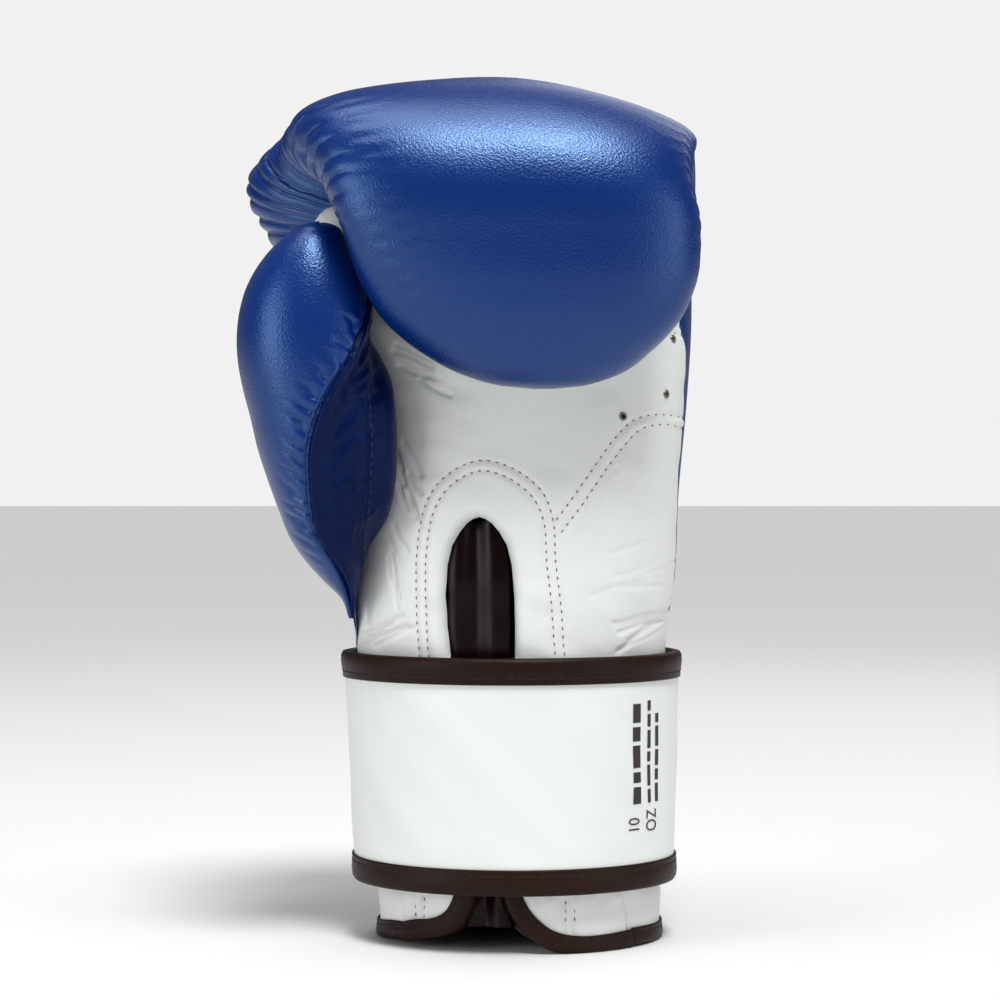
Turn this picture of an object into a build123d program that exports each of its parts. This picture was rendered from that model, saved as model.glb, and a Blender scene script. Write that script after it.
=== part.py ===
"""A left-hand boxing glove, closed and strapped, standing on its cuff. Millimetres, +Z up.

The origin is the middle of the wrist opening, in the plane of the cuff's hem. The palm faces -Y,
the thumb is on the -X side and the knuckles are at the top. The fist is a padded sausage that
rises from the cuff, curls forward over an axis along X and ends in front of the palm.

Every soft layer is a band: part of the wall between two ellipses, lofted from section to section.
Angles on a section run from +X (little finger side) through 90 (back of the hand) and 180 (thumb
side) to 270 (palm).
"""

import os
from math import cos, radians, sin

from build123d import *

os.makedirs("parts", exist_ok=True)

# ---- driving dimensions
LEATHER = 1.6  # thickness of the leather skins
LINING = 1.4  # thickness of the fabric lining
GAP = 0.3  # air left between one layer and the next
FIST_GAP = 0.7  # the same round the tight curl of the fist
GAP_ANGLE = 0.4  # the same along a seam, in degrees of a section
CURL_Y, CURL_Z = -24.0, 230.0  # the axis that the fist curls around, along X
CUFF_TOP = 100.0  # the cuff's own leather ends and the hand's begins
HEM_LEG = 7.5  # height of the binding tape on an edge
TAPE = 1.3  # thickness of the binding tape
FOAM_SPLIT = 0.5  # where the back's foam is split into two layers
STRAP_LOW, STRAP_HIGH = 20.5, 94.5  # the wrist strap's lower and upper edge
STRAP_LEATHER, STRAP_THICK = 1.2, 2.6
STRAP_TAPE, STRAP_LEG = 0.9, 7.8  # its binding's thickness and height
STRAP_END_ANGLE = 112  # where its free end lies on the back
ANCHOR_ANGLE = 140  # where the sewn end begins
GRIP_RADIUS = 9.2  # the roll that the fingers close on
GRIP_ENDS = (-50, 50)
THUMB_PASSAGE_RADIUS = 11.0
THUMB_PASSAGE = (Vector(-22, -8, 137), Vector(-61, -30, 160))  # centre line into the thumb
SLOT_MIDDLE_ANGLE = 256  # the slot's middle on a cuff section
EYELETS = [(46, -20, 198), (46, -18, 181), (33, -29, 171), (-30, -28, 171)]
EYELET_HOLE, EYELET_RADIUS, EYELET_RIM, EYELET_LENGTH = 1.0, 1.4, 2.3, 4.0
BIG = 400.0  # larger than the glove, for cutting tools

# ---- sections of the glove: kind, place, then (centre x, half width, near, far) outside and
# inside, and the angle of the side seam. "up" sections lie at a height, and near and far are y.
# "turn" sections lie at an angle around the curl axis and "down" sections at a drop below it:
# there near and far are distances from the axis.
HEM = ("up", TAPE + 0.1, (0, 46.6, -38.5, 38.5), (0, 36, -27.5, 27.5), 8)
CUFF_LOW = ("up", 22, (-0.1, 46.9, -39, 39.5), (0, 36.5, -28.5, 28.5), 8)
CUFF_END = ("up", CUFF_TOP, (-2.8, 51.8, -43, 43.5), (-2.5, 41, -32, 31.5), 8)
CUFF = [HEM, CUFF_LOW, CUFF_END]
HAND = [
    CUFF_END,
    ("up", 118, (-2.2, 53.5, -42.5, 49), (-1.5, 42.5, -31, 25), 6),
    ("up", 150, (-0.5, 54.5, -40, 56), (0, 42.5, -29, 17), -1),
    ("up", 180, (-1, 57.5, -37, 60), (-0.5, 44, -27, 15.5), -10),
    ("up", 207, (-5.5, 64, -33.5, 61), (-4, 44, -22, 14), -24),
    ("up", 219, (-9, 68.2, -22, 61), (-5, 44, -13, 14.5), -37),
    ("turn", 0, (-11.5, 71.3, 11, 84), (-6, 44, 20, 39), -48),
    ("turn", 30, (-15.8, 75, 11, 77.5), (-7, 44, 20, 38.5), -56),
    ("turn", 60, (-16.3, 75.5, 11, 64), (-7, 44, 20, 38), -56),
    ("turn", 90, (-14.3, 72.5, 11, 55.5), (-6, 44, 19.5, 37), -54),
    ("turn", 120, (-8.8, 66, 11, 53), (-4, 43.5, 19, 36), -53),
    ("turn", 150, (-2.8, 60, 11.5, 52), (-1, 42.5, 18.5, 35), -53),
    ("turn", 180, (0.5, 56.3, 12, 50), (1, 40, 18.5, 34), -53),
    ("down", 18, (2.2, 51, 12, 49), (2.5, 34, 19, 33), -53),
    ("down", 31, (3.8, 43, 12.3, 46), (4, 24, 20.5, 31.5), -50),
    ("down", 38, (5, 35, 13.2, 42.5), (5, 9, 23, 28.5), -48),
]
FINGER_TIP = [
    ("down", 45, (6.2, 25, 15.5, 38), (6, 2, 25, 28), -46),
    ("down", 50, (7, 12, 20, 32), (7, 1.5, 25, 27), -45),
]

# ---- the thumb: height, (centre x, centre y, half width, half depth) outside and inside, and the
# angle of the seam that faces the palm
THUMB = [
    (105, (-56, -23, 2.5, 3.5), (-56, -23, 0.5, 0.8), 275),
    (120, (-61.5, -28, 9, 12.5), (-61.5, -28, 1, 1.5), 270),
    (142, (-64, -33, 16.5, 18.5), (-62, -32, 8.5, 9), 245),
    (162, (-65.5, -37, 20.5, 20.5), (-63, -34, 10.5, 11), 255),
    (181, (-67, -39, 22, 20.5), (-64.5, -37, 11.5, 11.5), 278),
    (198, (-68, -40, 22.5, 20), (-66, -38, 11.5, 11), 303),
    (214, (-67.5, -40, 20.5, 17.5), (-66, -39, 9.5, 9), 328),
    (226, (-66, -40, 15.5, 13), (-66, -40, 4, 4), 338),
    (233, (-64.5, -40, 8.5, 7.5), (-64.5, -40, 1.5, 1.5), 342),
    (236, (-64, -40, 3, 3), (-64, -40, 0.8, 0.8), 345),
]
THUMB_BACK_SEAM = 90

# ---- the strap's cone: height, centre x, half width, half depth
STRAP_CONE = [(0, -1.4, 52.4, 44.6), (100, -2.8, 56.2, 48.3)]


def section_plane(kind, place):
    """The plane of a section, with its local x along X and its local y away from the palm."""
    if kind == "up":
        return Plane.XY.offset(place)
    if kind == "turn":
        outward = Vector(0, cos(radians(place)), sin(radians(place)))
        return Plane((0, CURL_Y, CURL_Z), (1, 0, 0), Vector(1, 0, 0).cross(outward))
    return Plane((0, CURL_Y, CURL_Z - place), (1, 0, 0), (0, 0, -1))


def four_point(a, b, c, d):
    """The value halfway between b and c on a smooth curve through four even steps."""
    return (9 * (b + c) - a - d) / 16


def refined(sections):
    """The sections of the curl with one more between each two, so that nested layers stay apart."""
    finer = [sections[0]]
    for k in range(len(sections) - 1):
        before, this, after = sections[max(k - 1, 0)], sections[k], sections[k + 1]
        beyond = sections[min(k + 2, len(sections) - 1)]
        group = (before, this, after, beyond)
        start = 0 if this[0] != after[0] else this[1]
        outer, inner = (
            tuple(four_point(*values) for values in zip(*(section[ring] for section in group)))
            for ring in (2, 3)
        )
        seam = four_point(*(section[4] for section in group))
        finer += [(after[0], (start + after[1]) / 2, outer, inner, seam), after]
    return finer


def arc_band(plane, outer, inner, start, end):
    """The face between two elliptic arcs. outer and inner are (centre x, y, radius x, y)."""
    with BuildSketch(plane) as face:
        with BuildLine():
            far = EllipticalCenterArc(outer[:2], *outer[2:], start_angle=start, arc_size=end - start)
            near = EllipticalCenterArc(inner[:2], *inner[2:], start_angle=start, arc_size=end - start)
            Line(far @ 0, near @ 0)
            Line(far @ 1, near @ 1)
        make_face()
    return face.sketch.face()


def ellipse_at(section, share, inset):
    """A section's ellipse, from the outside (share 0) to the hand's space (share 1)."""
    _, _, outer, inner, _ = section
    centre, half, near, far = (a + share * (b - a) for a, b in zip(outer, inner))
    return centre, (near + far) / 2, half - inset, (far - near) / 2 - inset


def body_band(sections, outside, inside, angles):
    """A layer of the glove's wall, lofted along it.

    outside and inside are (share, inset), and angles gives a section's first and last angle.
    """
    faces = []
    for section in sections:
        rings = ellipse_at(section, *outside), ellipse_at(section, *inside)
        faces.append(arc_band(section_plane(*section[:2]), *rings, *angles(section)))
    with BuildPart() as band:
        loft(faces)
    return band.part


def thumb_band(outside, inside, angles):
    """A layer of the thumb's wall. outside and inside are (inner form or not, inset)."""
    faces = []
    for height, outer_form, inner_form, seam in THUMB:
        rings = []
        for use_inner, inset in (outside, inside):
            x, y, half_width, half_depth = inner_form if use_inner else outer_form
            least = 0.35 if use_inner else 0.5
            rings.append((x, y, max(half_width - inset, least), max(half_depth - inset, least)))
        faces.append(arc_band(Plane.XY.offset(height), *rings, *angles(seam)))
    with BuildPart() as band:
        loft(faces)
    return band.part


def strap_band(inset_out, inset_in, start, end, low=STRAP_LOW, high=STRAP_HIGH):
    """Part of the strap's cone, between two depths, two angles and two heights."""
    faces = []
    (z0, *first), (z1, *last) = STRAP_CONE
    for height in (low, high):
        share = (height - z0) / (z1 - z0)
        centre, half, depth = (a + share * (b - a) for a, b in zip(first, last))
        outer = (centre, 0, half - inset_out, depth - inset_out)
        inner = (centre, 0, half - inset_in, depth - inset_in)
        faces.append(arc_band(Plane.XY.offset(height), outer, inner, start, end))
    with BuildPart() as band:
        loft(faces)
    return band.part


def back_angles(section):
    """From the little finger's side seam over the back to the thumb's side seam."""
    seam = section[4]
    return seam + GAP_ANGLE, 180 - seam - GAP_ANGLE


def palm_angles(section):
    """From the thumb's side seam over the palm to the little finger's side seam."""
    seam = section[4]
    return 180 - seam + GAP_ANGLE, 360 + seam - GAP_ANGLE


def left_hinge_angle(section):
    """The left flap's hinge line, which reaches the slot above the cuff."""
    return 215 + 29 * section[1] / 128


def right_hinge_angle(section):
    """The right flap's hinge line."""
    return 321 - 49 * section[1] / 128


def cuff_angles(section):
    """From the right flap's hinge line round the back to the left flap's."""
    return right_hinge_angle(section) - 360 + GAP_ANGLE, left_hinge_angle(section) - GAP_ANGLE


def left_flap_angles(section):
    return left_hinge_angle(section) + GAP_ANGLE, SLOT_MIDDLE_ANGLE


def right_flap_angles(section):
    return SLOT_MIDDLE_ANGLE, right_hinge_angle(section) - GAP_ANGLE


def slot_region(grow):
    """The empty space at the hem and in the wrist slot, seen from the palm and cut straight back.

    grow moves its edge into the leather.
    """
    corners = [
        (-90, -40),
        (-90, 2.5),
        (-40, 5.5),
        (-15.5, 8),
        (-24.9, 141),
        (-1.6, 141),
        (-7, 1.8),
        (90, TAPE + 0.1),
        (90, -40),
    ]
    radii = [1, 1, 20, 11, 11, 11, 17, 1, 1]
    with BuildPart() as region:
        with BuildSketch(Plane.XZ):
            with BuildLine():
                FilletPolyline(*corners, radius=radii, close=True)
            make_face()
            if grow:
                offset(amount=grow)
        extrude(amount=90)
    return region.part


def height_slice(low, high):
    """Everything between two heights."""
    with BuildPart() as slab:
        with BuildSketch(Plane.XY.offset(low)):
            Rectangle(BIG, BIG)
        extrude(amount=high - low)
    return slab.part


def passage(radius):
    """The way from the hand's space into the thumb."""
    start, end = THUMB_PASSAGE
    with BuildPart() as way:
        with BuildSketch(Plane(start, z_dir=end - start)):
            Circle(radius)
        extrude(amount=(end - start).length)
    return way.part


def save(part, name):
    """Labels a finished piece and writes it."""
    part.label = name
    export_step(part, f"parts/{name}.step")
    print(f"{name:24} solids {len(part.solids())} volume {part.volume:9.0f}")


FULL_TURN = (-89.6, 269.6)  # a sewn tube, with its seam in the middle of the palm
thumb_way = passage(THUMB_PASSAGE_RADIUS)
slot = slot_region(0)
foam_skin = (0, LEATHER + GAP)  # the foam's outside
foam_bore = (1, -LINING - GAP)  # the foam's inside
lower, upper = HAND[:7], refined(HAND[6:] + FINGER_TIP)  # below the curl, and round it to the tip

# ---- back of the glove: leather over two layers of foam on the hand, and one moulded foam in the fist
for name, sections, outside, inside in [
    ("back_leather", lower, (0, 0), (0, LEATHER)),
    ("back_outer_foam", lower, foam_skin, (FOAM_SPLIT, 0)),
    ("back_inner_foam", lower, (FOAM_SPLIT, GAP), foam_bore),
    ("fist_leather", upper, (0, 0), (0, LEATHER)),
    ("fist_foam", upper, (0, LEATHER + FIST_GAP), (1, -LINING - FIST_GAP)),
]:
    with BuildPart() as back_layer:
        add(body_band(sections, outside, inside, back_angles))
        if sections is lower:
            add(thumb_way, mode=Mode.SUBTRACT)
    save(back_layer.part, name)

# ---- palm: two panels of leather, a thin pad and the seam between them
with BuildPart() as outer_palm_zone:
    with BuildSketch(Plane.XZ):
        with BuildLine():
            Polyline((9, CUFF_TOP), (11, 134), (33, 167), (45, 174), (90, 174), (90, CUFF_TOP), (9, CUFF_TOP))
        make_face()
    extrude(amount=90)
palm_wall = body_band(lower, (0, 0), (0, LEATHER), palm_angles)
eyelet_holes = []
for x, y, z in EYELETS:
    with BuildPart() as punched:
        with BuildSketch(Plane((x, y - 12, z), (1, 0, 0), (0, 1, 0))):
            Circle(EYELET_RADIUS)
        extrude(amount=24)
    eyelet_holes.append(punched.part)
with BuildPart() as palm_leather:
    add(palm_wall)
    add([slot, thumb_way, outer_palm_zone.part, *eyelet_holes], mode=Mode.SUBTRACT)
save(palm_leather.part, "palm_leather")
with BuildPart() as outer_palm:
    add(palm_wall)
    add(outer_palm_zone.part, mode=Mode.INTERSECT)
    add([slot, thumb_way, *eyelet_holes], mode=Mode.SUBTRACT)
save(outer_palm.part, "outer_palm_leather")
with BuildPart() as palm_pad:
    add(body_band(lower, foam_skin, foam_bore, palm_angles))
    add([slot, thumb_way, *eyelet_holes], mode=Mode.SUBTRACT)
save(palm_pad.part, "palm_foam")

# ---- inside of the curled fingers, which closes over the grip roll
with BuildPart() as finger_leather:
    add(body_band(upper, (0, 0), (0, LEATHER), palm_angles))
save(finger_leather.part, "finger_leather")
with BuildPart() as finger_pad:
    add(body_band(upper, (0, LEATHER + FIST_GAP), (1, -LINING - FIST_GAP), palm_angles))
save(finger_pad.part, "finger_foam")

# ---- lining of the hand and fingers, and the dark tongue behind the wrist slot
with BuildPart() as hand_lining:
    add(body_band(lower, (1, -LINING), (1, 0), lambda section: FULL_TURN))
    add([slot, thumb_way, *eyelet_holes], mode=Mode.SUBTRACT)
save(hand_lining.part, "hand_lining")
with BuildPart() as finger_lining:
    add(body_band(upper[:-4], (1, -LINING), (1, 0), lambda section: FULL_TURN))
save(finger_lining.part, "finger_lining")
with BuildPart() as tongue:
    add(body_band(CUFF, (1, TAPE + 0.5), (1, TAPE + 2.1), lambda section: (222, 296)))
    add(body_band(lower, (1, TAPE + 0.5), (1, TAPE + 2.1), lambda section: (222, 296)))
    add(height_slice(8, 150), mode=Mode.INTERSECT)
save(tongue.part, "wrist_tongue")

# ---- cuff: leather, pad, lining and hem binding, on the hand side and on the two flaps
CUFF_LAYERS = [
    ("leather", (0, 0), (0, LEATHER)),
    ("foam", foam_skin, foam_bore),
    ("lining", (1, -LINING), (1, 0)),
]
edge_zone, past_edge, inner_edge = slot_region(HEM_LEG), slot_region(-TAPE), slot_region(-0.1)
for side, angles in [
    ("cuff", cuff_angles),
    ("left_flap", left_flap_angles),
    ("right_flap", right_flap_angles),
]:
    for layer_name, outside, inside in CUFF_LAYERS:
        with BuildPart() as cuff_layer:
            add(body_band(CUFF, outside, inside, angles))
            if side != "cuff":
                add(slot, mode=Mode.SUBTRACT)
        save(cuff_layer.part, f"{side}_{layer_name}")
    tape_sections = [("up", 0, *HEM[2:]), CUFF_LOW, CUFF_END]
    with BuildPart() as binding:
        add(body_band(tape_sections, (0, -TAPE), (1, TAPE), angles))
        if side == "cuff":
            add(height_slice(0, HEM_LEG), mode=Mode.INTERSECT)
        else:
            add(edge_zone, mode=Mode.INTERSECT)
            add(past_edge, mode=Mode.SUBTRACT)
            add(height_slice(CUFF_TOP - 8, BIG), mode=Mode.SUBTRACT)
    with BuildPart() as filling:
        add(body_band(CUFF, (0, -0.1), (1, 0.1), lambda section: (angles(section)[0] - 2, angles(section)[1] + 2)))
        if side != "cuff":
            add(inner_edge, mode=Mode.SUBTRACT)
    with BuildPart() as hem_binding:
        add(binding.part)
        add(filling.part, mode=Mode.SUBTRACT)
    save(hem_binding.part, f"{side}_binding")

# ---- grip roll: a foam core in a leather cover, across the palm inside the curl
grip_length = GRIP_ENDS[1] - GRIP_ENDS[0]
grip_plane = Plane((GRIP_ENDS[0], CURL_Y, CURL_Z), (0, 1, 0), (1, 0, 0))
with BuildPart() as grip_cover:
    with BuildSketch(grip_plane):
        Circle(GRIP_RADIUS)
    extrude(amount=grip_length)
    fillet(grip_cover.edges().filter_by(GeomType.CIRCLE), 5)
    offset(amount=-LEATHER, mode=Mode.SUBTRACT)
save(grip_cover.part, "grip_cover")
with BuildPart() as grip_core:
    with BuildSketch(grip_plane.offset(LEATHER + GAP)):
        Circle(GRIP_RADIUS - LEATHER - GAP)
    extrude(amount=grip_length - 2 * (LEATHER + GAP))
    fillet(grip_core.edges().filter_by(GeomType.CIRCLE), 3.5)
save(grip_core.part, "grip_core")

# ---- thumb: two leather shells, foam and lining, on a body of their own
for name, outside, inside, angles in [
    ("thumb_outer_leather", (False, 0), (False, LEATHER), lambda seam: (THUMB_BACK_SEAM + 0.5, seam - 0.5)),
    ("thumb_inner_leather", (False, 0), (False, LEATHER), lambda seam: (seam + 0.5, 360 + THUMB_BACK_SEAM - 0.5)),
    ("thumb_foam", (False, LEATHER + GAP), (True, -LINING - GAP), lambda seam: (91, 450)),
    ("thumb_lining", (True, -LINING), (True, 0), lambda seam: (91, 450)),
]:
    with BuildPart() as thumb_layer:
        add(thumb_band(outside, inside, angles))
        if name != "thumb_outer_leather":
            add(thumb_way, mode=Mode.SUBTRACT)
    save(thumb_layer.part, name)

# ---- vent eyelets in the palm, one group
with BuildPart() as eyelets:
    for x, y, z in EYELETS:
        plane = Plane((x, y, z), (1, 0, 0), (0, 1, 0))
        with BuildSketch(plane):
            Circle(EYELET_RADIUS)
        extrude(amount=EYELET_LENGTH)
        with BuildSketch(plane):
            Circle(EYELET_RIM)
        extrude(amount=0.5)
        with BuildSketch(plane):
            Circle(EYELET_HOLE)
        extrude(amount=EYELET_LENGTH, mode=Mode.SUBTRACT)
save(eyelets.part, "vent_eyelets")


# ---- wrist strap: sewn on at the thumb side, round the palm, closed on the back
def bound_strap(start, end, free_end=0.0):
    """The tape round the upper and lower edges, and round a free end if there is one."""
    low, high = STRAP_LOW - STRAP_TAPE - 0.1, STRAP_HIGH + STRAP_TAPE + 0.1
    window_low, window_high = STRAP_LOW + STRAP_LEG, STRAP_HIGH - STRAP_LEG
    with BuildPart() as tape:
        add(strap_band(-STRAP_TAPE, STRAP_THICK + STRAP_TAPE, start, end + free_end, low, high))
        add(strap_band(-9, 12, start - 2, end + 2 - 5 * free_end, window_low, window_high), mode=Mode.SUBTRACT)
        add(
            strap_band(-0.1, STRAP_THICK + 0.1, start - 2, end + (0.1 if free_end else 2), STRAP_LOW - 0.1, STRAP_HIGH + 0.1),
            mode=Mode.SUBTRACT,
        )
    return tape.part


for name, start, end, free_end in [
    ("strap_anchor", ANCHOR_ANGLE, 179.6, 0.0),
    ("strap_front", 180.4, 359.6, 0.0),
    ("strap_back", 0.4, STRAP_END_ANGLE, 1.4),
]:
    with BuildPart() as strap_leather:
        add(strap_band(0, STRAP_LEATHER, start, end))
    save(strap_leather.part, f"{name}_leather")
    with BuildPart() as strap_backing:
        add(strap_band(STRAP_LEATHER + 0.1, STRAP_THICK, start, end))
    save(strap_backing.part, f"{name}_backing")
    save(bound_strap(start, end, free_end), f"{name}_binding")

with BuildPart() as hook_patch:
    add(strap_band(STRAP_THICK + 0.15, STRAP_THICK + 0.95, 62, STRAP_END_ANGLE - 7, 30, 85))
save(hook_patch.part, "hook_patch")
with BuildPart() as loop_patch:
    add(body_band(CUFF, (0, -0.95), (0, -0.1), lambda section: (48, 128)))
    add(height_slice(27, 88), mode=Mode.INTERSECT)
save(loop_patch.part, "loop_patch")
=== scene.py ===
"""A padded boxing glove, left hand, seen from its palm side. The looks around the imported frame.

Shapes are worked out in millimetres in the frame's own axes and become metres as meshes are made.
"""

import math

import bpy
import numpy as np
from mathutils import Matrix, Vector


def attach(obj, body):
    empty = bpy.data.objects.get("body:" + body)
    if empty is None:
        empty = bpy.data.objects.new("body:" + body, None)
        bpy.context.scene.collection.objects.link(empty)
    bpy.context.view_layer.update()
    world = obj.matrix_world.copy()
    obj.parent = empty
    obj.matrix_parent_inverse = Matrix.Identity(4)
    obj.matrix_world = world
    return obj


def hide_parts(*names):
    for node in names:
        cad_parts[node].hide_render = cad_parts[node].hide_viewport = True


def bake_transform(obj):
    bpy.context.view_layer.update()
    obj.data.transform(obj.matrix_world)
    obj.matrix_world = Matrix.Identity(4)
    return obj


MM = 0.001
CURL_Y, CURL_Z = -24.0, 230.0  # the axis that the fist curls around
STRAP_LOW, STRAP_HIGH = 20.5, 94.5
RNG = np.random.default_rng(11)

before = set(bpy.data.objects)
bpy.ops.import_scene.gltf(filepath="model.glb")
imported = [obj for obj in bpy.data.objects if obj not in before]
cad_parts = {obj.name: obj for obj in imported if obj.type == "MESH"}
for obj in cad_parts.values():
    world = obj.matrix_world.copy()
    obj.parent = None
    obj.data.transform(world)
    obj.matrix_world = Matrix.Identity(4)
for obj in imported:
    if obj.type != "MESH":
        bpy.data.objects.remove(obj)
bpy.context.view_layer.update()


# ---- small tools
def smooth(a, b, x):
    """0 below a, 1 above b, and an even slope between."""
    t = np.clip((np.asarray(x, float) - a) / (b - a), 0.0, 1.0)
    return t * t * (3 - 2 * t)


def hermite(knots, values, x):
    """A smooth curve through values at knots, which needn't be even."""
    knots, values, x = (np.asarray(v, float) for v in (knots, values, x))
    steps = np.diff(knots)
    slopes = np.diff(values) / steps
    tangents = np.empty_like(values)
    tangents[0], tangents[-1] = slopes[0], slopes[-1]
    tangents[1:-1] = (slopes[:-1] * steps[1:] + slopes[1:] * steps[:-1]) / (steps[:-1] + steps[1:])
    k = np.clip(np.searchsorted(knots, x, side="right") - 1, 0, len(knots) - 2)
    h, t = steps[k], (x - knots[k]) / steps[k]
    t = np.clip(t, 0.0, 1.0)
    return (
        (2 * t**3 - 3 * t**2 + 1) * values[k]
        + (t**3 - 2 * t**2 + t) * h * tangents[k]
        + (3 * t**2 - 2 * t**3) * values[k + 1]
        + (t**3 - t**2) * h * tangents[k + 1]
    )


def table_at(table, where, *wanted):
    """The wanted columns of a table, each a smooth curve over the table's first column."""
    return [hermite(table[:, 0], table[:, k], where) for k in wanted]


def bell(x, width):
    """1 at x = 0, falling smoothly to nothing past about two widths."""
    return np.exp(-((np.asarray(x, float) / width) ** 2))


def wobble(x, seed, period, octaves=3):
    """A smooth irregular curve of about -1 to 1."""
    draw = np.random.default_rng(seed)
    x = np.asarray(x, float)
    total = np.zeros_like(x)
    for k in range(octaves):
        phase, scale = draw.uniform(0, 2 * math.pi), draw.uniform(0.8, 1.25)
        total += np.sin(2 * math.pi * x * (1.7**k) * scale / period + phase) / (1.5**k)
    return total / 1.9


def path_distance(x, z, path):
    """How far each (x, z) lies from a path of straight runs."""
    best = np.full(np.shape(x), 1e9)
    for (x0, z0), (x1, z1) in zip(path[:-1], path[1:]):
        dx, dz = x1 - x0, z1 - z0
        t = np.clip(((x - x0) * dx + (z - z0) * dz) / max(dx * dx + dz * dz, 1e-9), 0, 1)
        best = np.minimum(best, np.hypot(x - x0 - t * dx, z - z0 - t * dz))
    return best


def rounded(points, count):
    """A smooth path through points, given as count points."""
    points = np.array(points, float)
    lengths = np.concatenate([[0], np.cumsum(np.hypot(*np.diff(points, axis=0).T))])
    at = np.linspace(0, lengths[-1], count)
    return np.column_stack([hermite(lengths, points[:, k], at) for k in range(points.shape[1])])


def unit(vectors):
    """Each vector of an array at a length of 1."""
    return vectors / np.linalg.norm(vectors, axis=-1, keepdims=True)


def oval(cx, half, cy, depth, z, phi, out=0.0):
    """Points at phi degrees round level ovals at height z, or standing out from them."""
    a = np.radians(phi)
    x, y = cx + (half + out) * np.cos(a), cy + (depth + out) * np.sin(a)
    return np.stack([x, y, z + 0 * a], axis=-1)


def near_angle(x, cx, half):
    """The angle at which an oval's near side reaches x."""
    return 360 - np.degrees(np.arccos(np.clip((x - cx) / half, -1, 1)))


# ---- meshes
def add_object(name, data):
    holder = bpy.data.objects.new(name, data)
    bpy.context.scene.collection.objects.link(holder)
    return holder


def make_mesh(name, verts, faces, material, soft=True):
    """An object from points in millimetres."""
    mesh = bpy.data.meshes.new(name)
    verts = [tuple(v) for v in np.asarray(verts, float) * MM]
    mesh.from_pydata(verts, [], [tuple(int(i) for i in f) for f in faces])
    mesh.update()
    mesh.materials.append(material)
    mesh.polygons.foreach_set("use_smooth", [soft] * len(mesh.polygons))
    return add_object(name, mesh)


def grid_quads(rows, columns, start=0, wrap=False, flip=False):
    """Faces of a grid of points stored row by row."""
    faces = []
    last = columns if wrap else columns - 1
    for r in range(rows - 1):
        for c in range(last):
            a, b = start + r * columns + c, start + r * columns + (c + 1) % columns
            quad = (a, b, b + columns, a + columns)
            faces.append(quad[::-1] if flip else quad)
    return faces


def grid_piece(name, points, material, wrap=False, flip=False, caps=""):
    """A piece from an array of points, rows by columns by 3. caps names the ends to close."""
    rows, columns = points.shape[:2]
    faces = grid_quads(rows, columns, wrap=wrap, flip=flip)
    ring = list(range(columns))
    end = [(rows - 1) * columns + c for c in ring]
    if "first" in caps:
        faces.append(ring if flip else ring[::-1])
    if "last" in caps:
        faces.append(end[::-1] if flip else end)
    return make_mesh(name, points.reshape(-1, 3), faces, material)


def lift(points, amount):
    """Moves a grid's points along its normals, by an amount for each point."""
    normal = np.cross(np.gradient(points, axis=1), np.gradient(points, axis=0))
    normal = normal / np.maximum(np.linalg.norm(normal, axis=2, keepdims=True), 1e-9)
    return points + normal * np.asarray(amount)[..., None]


# Length, width and height of a stitch's thread, and the distance from a stitch to the next.
SEAM_STITCH, SEAM_PITCH = (1.15, 0.42, 0.42), 2.7
TAPE_STITCH, TAPE_PITCH = (2.3, 0.55, 0.4), 3.3
STRAP_STITCH = (2.4, 0.5, 0.4)
THUMB_STITCH = (1.9, 0.6, 0.6)


def capsules(name, centres, directions, normals, size, material):
    """Short threads, one for each stitch, each a stretched bead of six sides."""
    verts, faces = [], []
    rings = [(-0.5, 0.25), (-0.32, 0.9), (0, 1.0), (0.32, 0.9), (0.5, 0.25)]  # place, girth
    sides = 6
    length, width, height = size
    for centre, along, up in zip(centres, directions, normals):
        along = along / np.linalg.norm(along)
        side = np.cross(up, along)
        side = side / np.linalg.norm(side)
        up = np.cross(along, side)
        base = len(verts)
        for t, girth in rings:
            for k in range(sides):
                a = 2 * math.pi * k / sides
                verts.append(
                    centre
                    + along * t * length
                    + side * math.cos(a) * width * girth / 2
                    + up * math.sin(a) * height * girth / 2
                )
        faces += grid_quads(len(rings), sides, start=base, wrap=True)
        faces += [tuple(base + k for k in reversed(range(sides)))]
        faces += [tuple(base + (len(rings) - 1) * sides + k for k in range(sides))]
    return make_mesh(name, verts, faces, material)


# ---- materials
def node_material(name, colour, roughness):
    material = bpy.data.materials.new(name)
    material.use_nodes = True
    shader = material.node_tree.nodes["Principled BSDF"]
    shader.inputs["Base Color"].default_value = (*colour, 1)
    shader.inputs["Roughness"].default_value = roughness
    return material, material.node_tree, shader


def add_node(tree, kind, **values):
    node = tree.nodes.new(kind)
    for key, value in values.items():
        if key in node.inputs:
            node.inputs[key].default_value = value
        else:
            setattr(node, key, value)
    return node


def add_bump(tree, shader, height, strength, distance):
    bump = add_node(tree, "ShaderNodeBump", Strength=strength, Distance=distance)
    tree.links.new(height, bump.inputs["Height"])
    tree.links.new(bump.outputs["Normal"], shader.inputs["Normal"])


def add_ramp(tree, shader, factor, *stops):
    """Colours the shader by a factor, between two stops of a place and a colour."""
    ramp = add_node(tree, "ShaderNodeValToRGB")
    for k, (place, colour) in enumerate(stops):
        ramp.color_ramp.elements[k].position = place
        ramp.color_ramp.elements[k].color = (*colour, 1)
    tree.links.new(factor, ramp.inputs["Fac"])
    tree.links.new(ramp.outputs["Color"], shader.inputs["Base Color"])


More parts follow.
